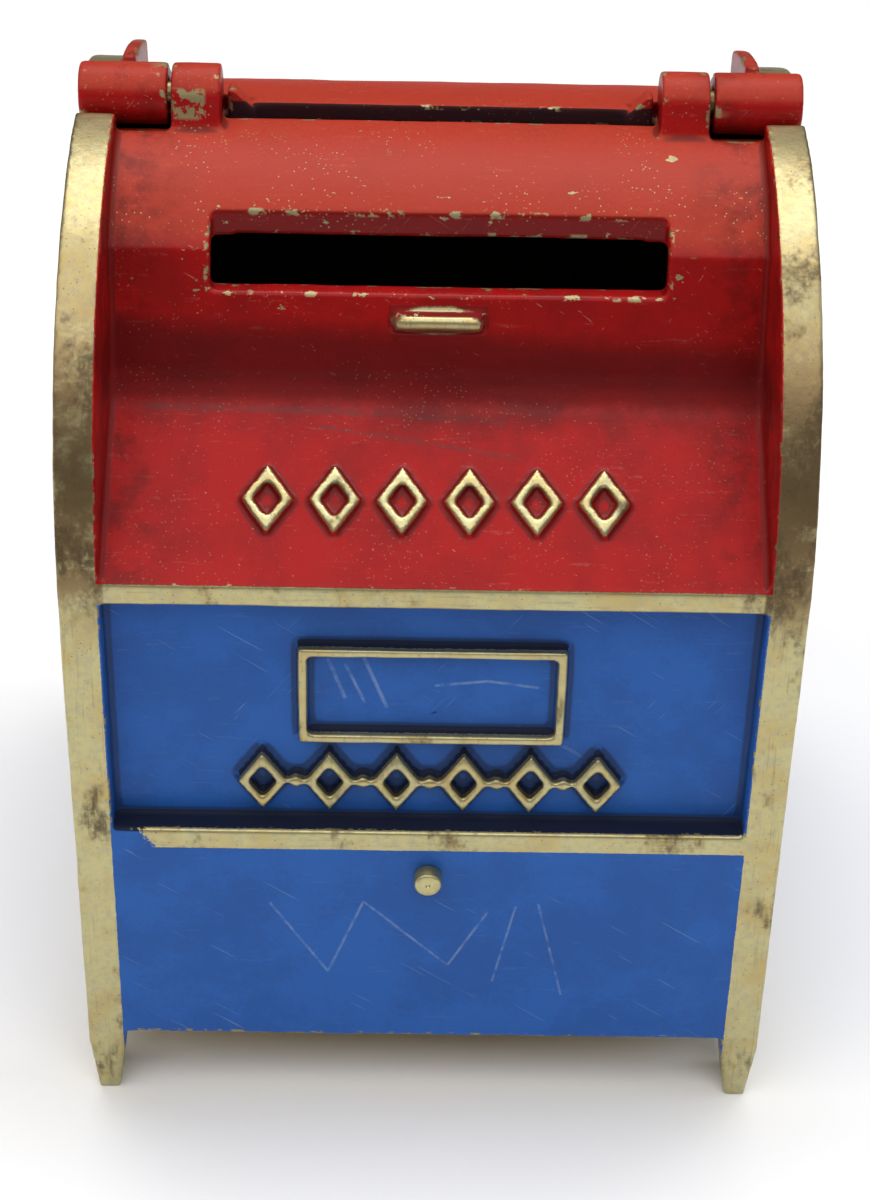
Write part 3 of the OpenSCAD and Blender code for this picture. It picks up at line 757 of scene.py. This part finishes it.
def inside_cover(mesh):
    """1 on the cover's inner faces: behind its outer profile and clear of the rims."""
    co = coordinates(mesh) / MM
    behind, x, z = co[:, 1] - FRONT_Y, np.abs(co[:, 0]), co[:, 2]
    from_axis = np.where(z > SIDE_H, np.hypot(behind - HOOD_C[0], z - SIDE_H), 0)
    in_notch = (x < SLOT_HALF + 0.3) & (z > SLOT_Z[0] - 0.3) & (z < SLOT_Z[1] + 0.3)
    in_panel = (z > LEDGE[0] - 0.5) & (z < BELT[1] + 0.1)
    outer = np.where(in_notch, NOTCH_BACK, front_profile(z))
    outer = np.where(in_panel, PANEL_SUNK, outer)
    deep = (behind > outer + 0.55 * WALL) & (z > PANEL_FOOT - 0.2) & (z < UNDER_HOOD)
    return deep & (x < HALF_W - SIDE_SUNK - 0.55 * WALL) & (from_axis < ARCH_R - 0.4)


def inside_shell(mesh):
    """1 on the rear shell's inner faces."""
    co = coordinates(mesh) / MM
    behind, x, z = co[:, 1] - FRONT_Y, np.abs(co[:, 0]), co[:, 2]
    out = np.where(z > SIDE_H, np.hypot(behind - ARCH_R, z - SIDE_H), behind - ARCH_R)
    deep = (out < ARCH_R - 0.5 - 0.85 * WALL) & (z > SIDE_FOOT - 0.2)
    return deep & (x < HALF_W - SIDE_SUNK - 0.55 * WALL)


def make_castings(enamel):
    """The front cover and the rear shell, in worn enamel."""
    rows = [
        ("cover_casting", "front_cover", "cover", "red_enamel", cover_softness, inside_cover),
        ("shell_casting", "rear_shell", "shell", "blue_enamel", shell_softness, inside_shell),
    ]
    for name, node, body, slot, softness, inside in rows:
        mesh = casting(node, softness)
        store(mesh, "inside", inside(mesh))
        mesh.materials.clear()
        mesh.materials.append(enamel)
        add_piece(name, mesh, body, slot, node)


def make_small_pieces():
    """The stud, pins and fittings, each with rounded edges and its own metal."""
    cast = metal_material("stud_brass", BRASS, (0.30, 0.24, 0.13), (0.28, 0.5), 0.3)
    sheet_tones = (0.66, 0.52, 0.24), (0.30, 0.21, 0.08)
    sheet = metal_material("sheet_brass", *sheet_tones, (0.22, 0.4), 0.8, (0.15, 1, 1))
    # dark turned brass: tarnish, and painted shade for the pins seen in the dark gaps between the knuckles
    turned_tones = (0.40, 0.31, 0.15), (0.14, 0.10, 0.05)
    turned_metal = metal_material("turned_brass", *turned_tones, (0.3, 0.48), 0.25)
    bronze_tones = (0.56, 0.34, 0.17), (0.22, 0.11, 0.05)
    bronze = metal_material("spring_bronze", *bronze_tones, (0.2, 0.38), 0.8, (1, 1, 0.15))
    steel_tones = (0.62, 0.62, 0.60), (0.30, 0.29, 0.27)
    steel = metal_material("plated_steel", *steel_tones, (0.18, 0.34), 0.5, (0.2, 1, 1))

    radius = (stud_high.x - stud_low.x) / 2
    face, tail = stud_low.y, stud_high.y
    dot = 0.16
    profile = [(0.10, 0), (0.10, dot * 0.5), (0.0, dot), (0.0, radius - 0.16), (0.05, radius - 0.05)]
    profile += [(0.16, radius), (STUD_RISE, radius), (STUD_RISE, SHANK_R), (tail - face - 0.3, SHANK_R)]
    profile += [(tail - face - 0.3, radius), (tail - face - 0.06, radius), (tail - face, radius - 0.1)]
    profile += [(tail - face, 0)]
    stud = turned(profile, (0, face, STUD_Z), (0, 1, 0))
    stud.materials.append(cast)
    add_piece("stud_turned", stud, "cover", "cast_brass", "catch_stud")

    for side in ("left", "right"):
        low, high = (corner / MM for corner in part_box("hinge_pin_" + side))
        pin_r = (high.z - low.z) / 2
        length = high.x - low.x
        ends = [(0, 0), (0, pin_r - 0.18), (0.06, pin_r - 0.06), (0.18, pin_r)]
        profile = ends + [(length - along, r) for along, r in reversed(ends)]
        pin = turned(profile, (low.x, (low.y + high.y) / 2, (low.z + high.z) / 2), (1, 0, 0))
        pin.materials.append(turned_metal)
        add_piece("pin_turned_" + side, pin, "shell", "turned_brass", "hinge_pin_" + side)

    fittings = [
        ("catch_washer", "cover", "turned_brass", turned_metal, 0.05),
        ("catch_spring", "cover", "spring_bronze", bronze, 0.06),
        ("floor_plate", "shell", "sheet_brass", sheet, 0.12),
        ("coil_cradle", "shell", "sheet_brass", sheet, 0.10),
        ("cradle_rivets", "shell", "turned_brass", turned_metal, 0.12),
        ("floor_screws", "shell", "plated_steel", steel, 0.08),
        ("coil_spindle", "spindle", "plated_steel", steel, 0.12),
    ]
    for node, body, slot, material, width in fittings:
        mesh = bevelled(node, width)
        mesh.materials.clear()
        mesh.materials.append(material)
        add_piece(node + "_finished", mesh, body, slot, node)


make_camera()
make_floor()
make_light()
make_castings(enamel_material())
make_small_pieces()
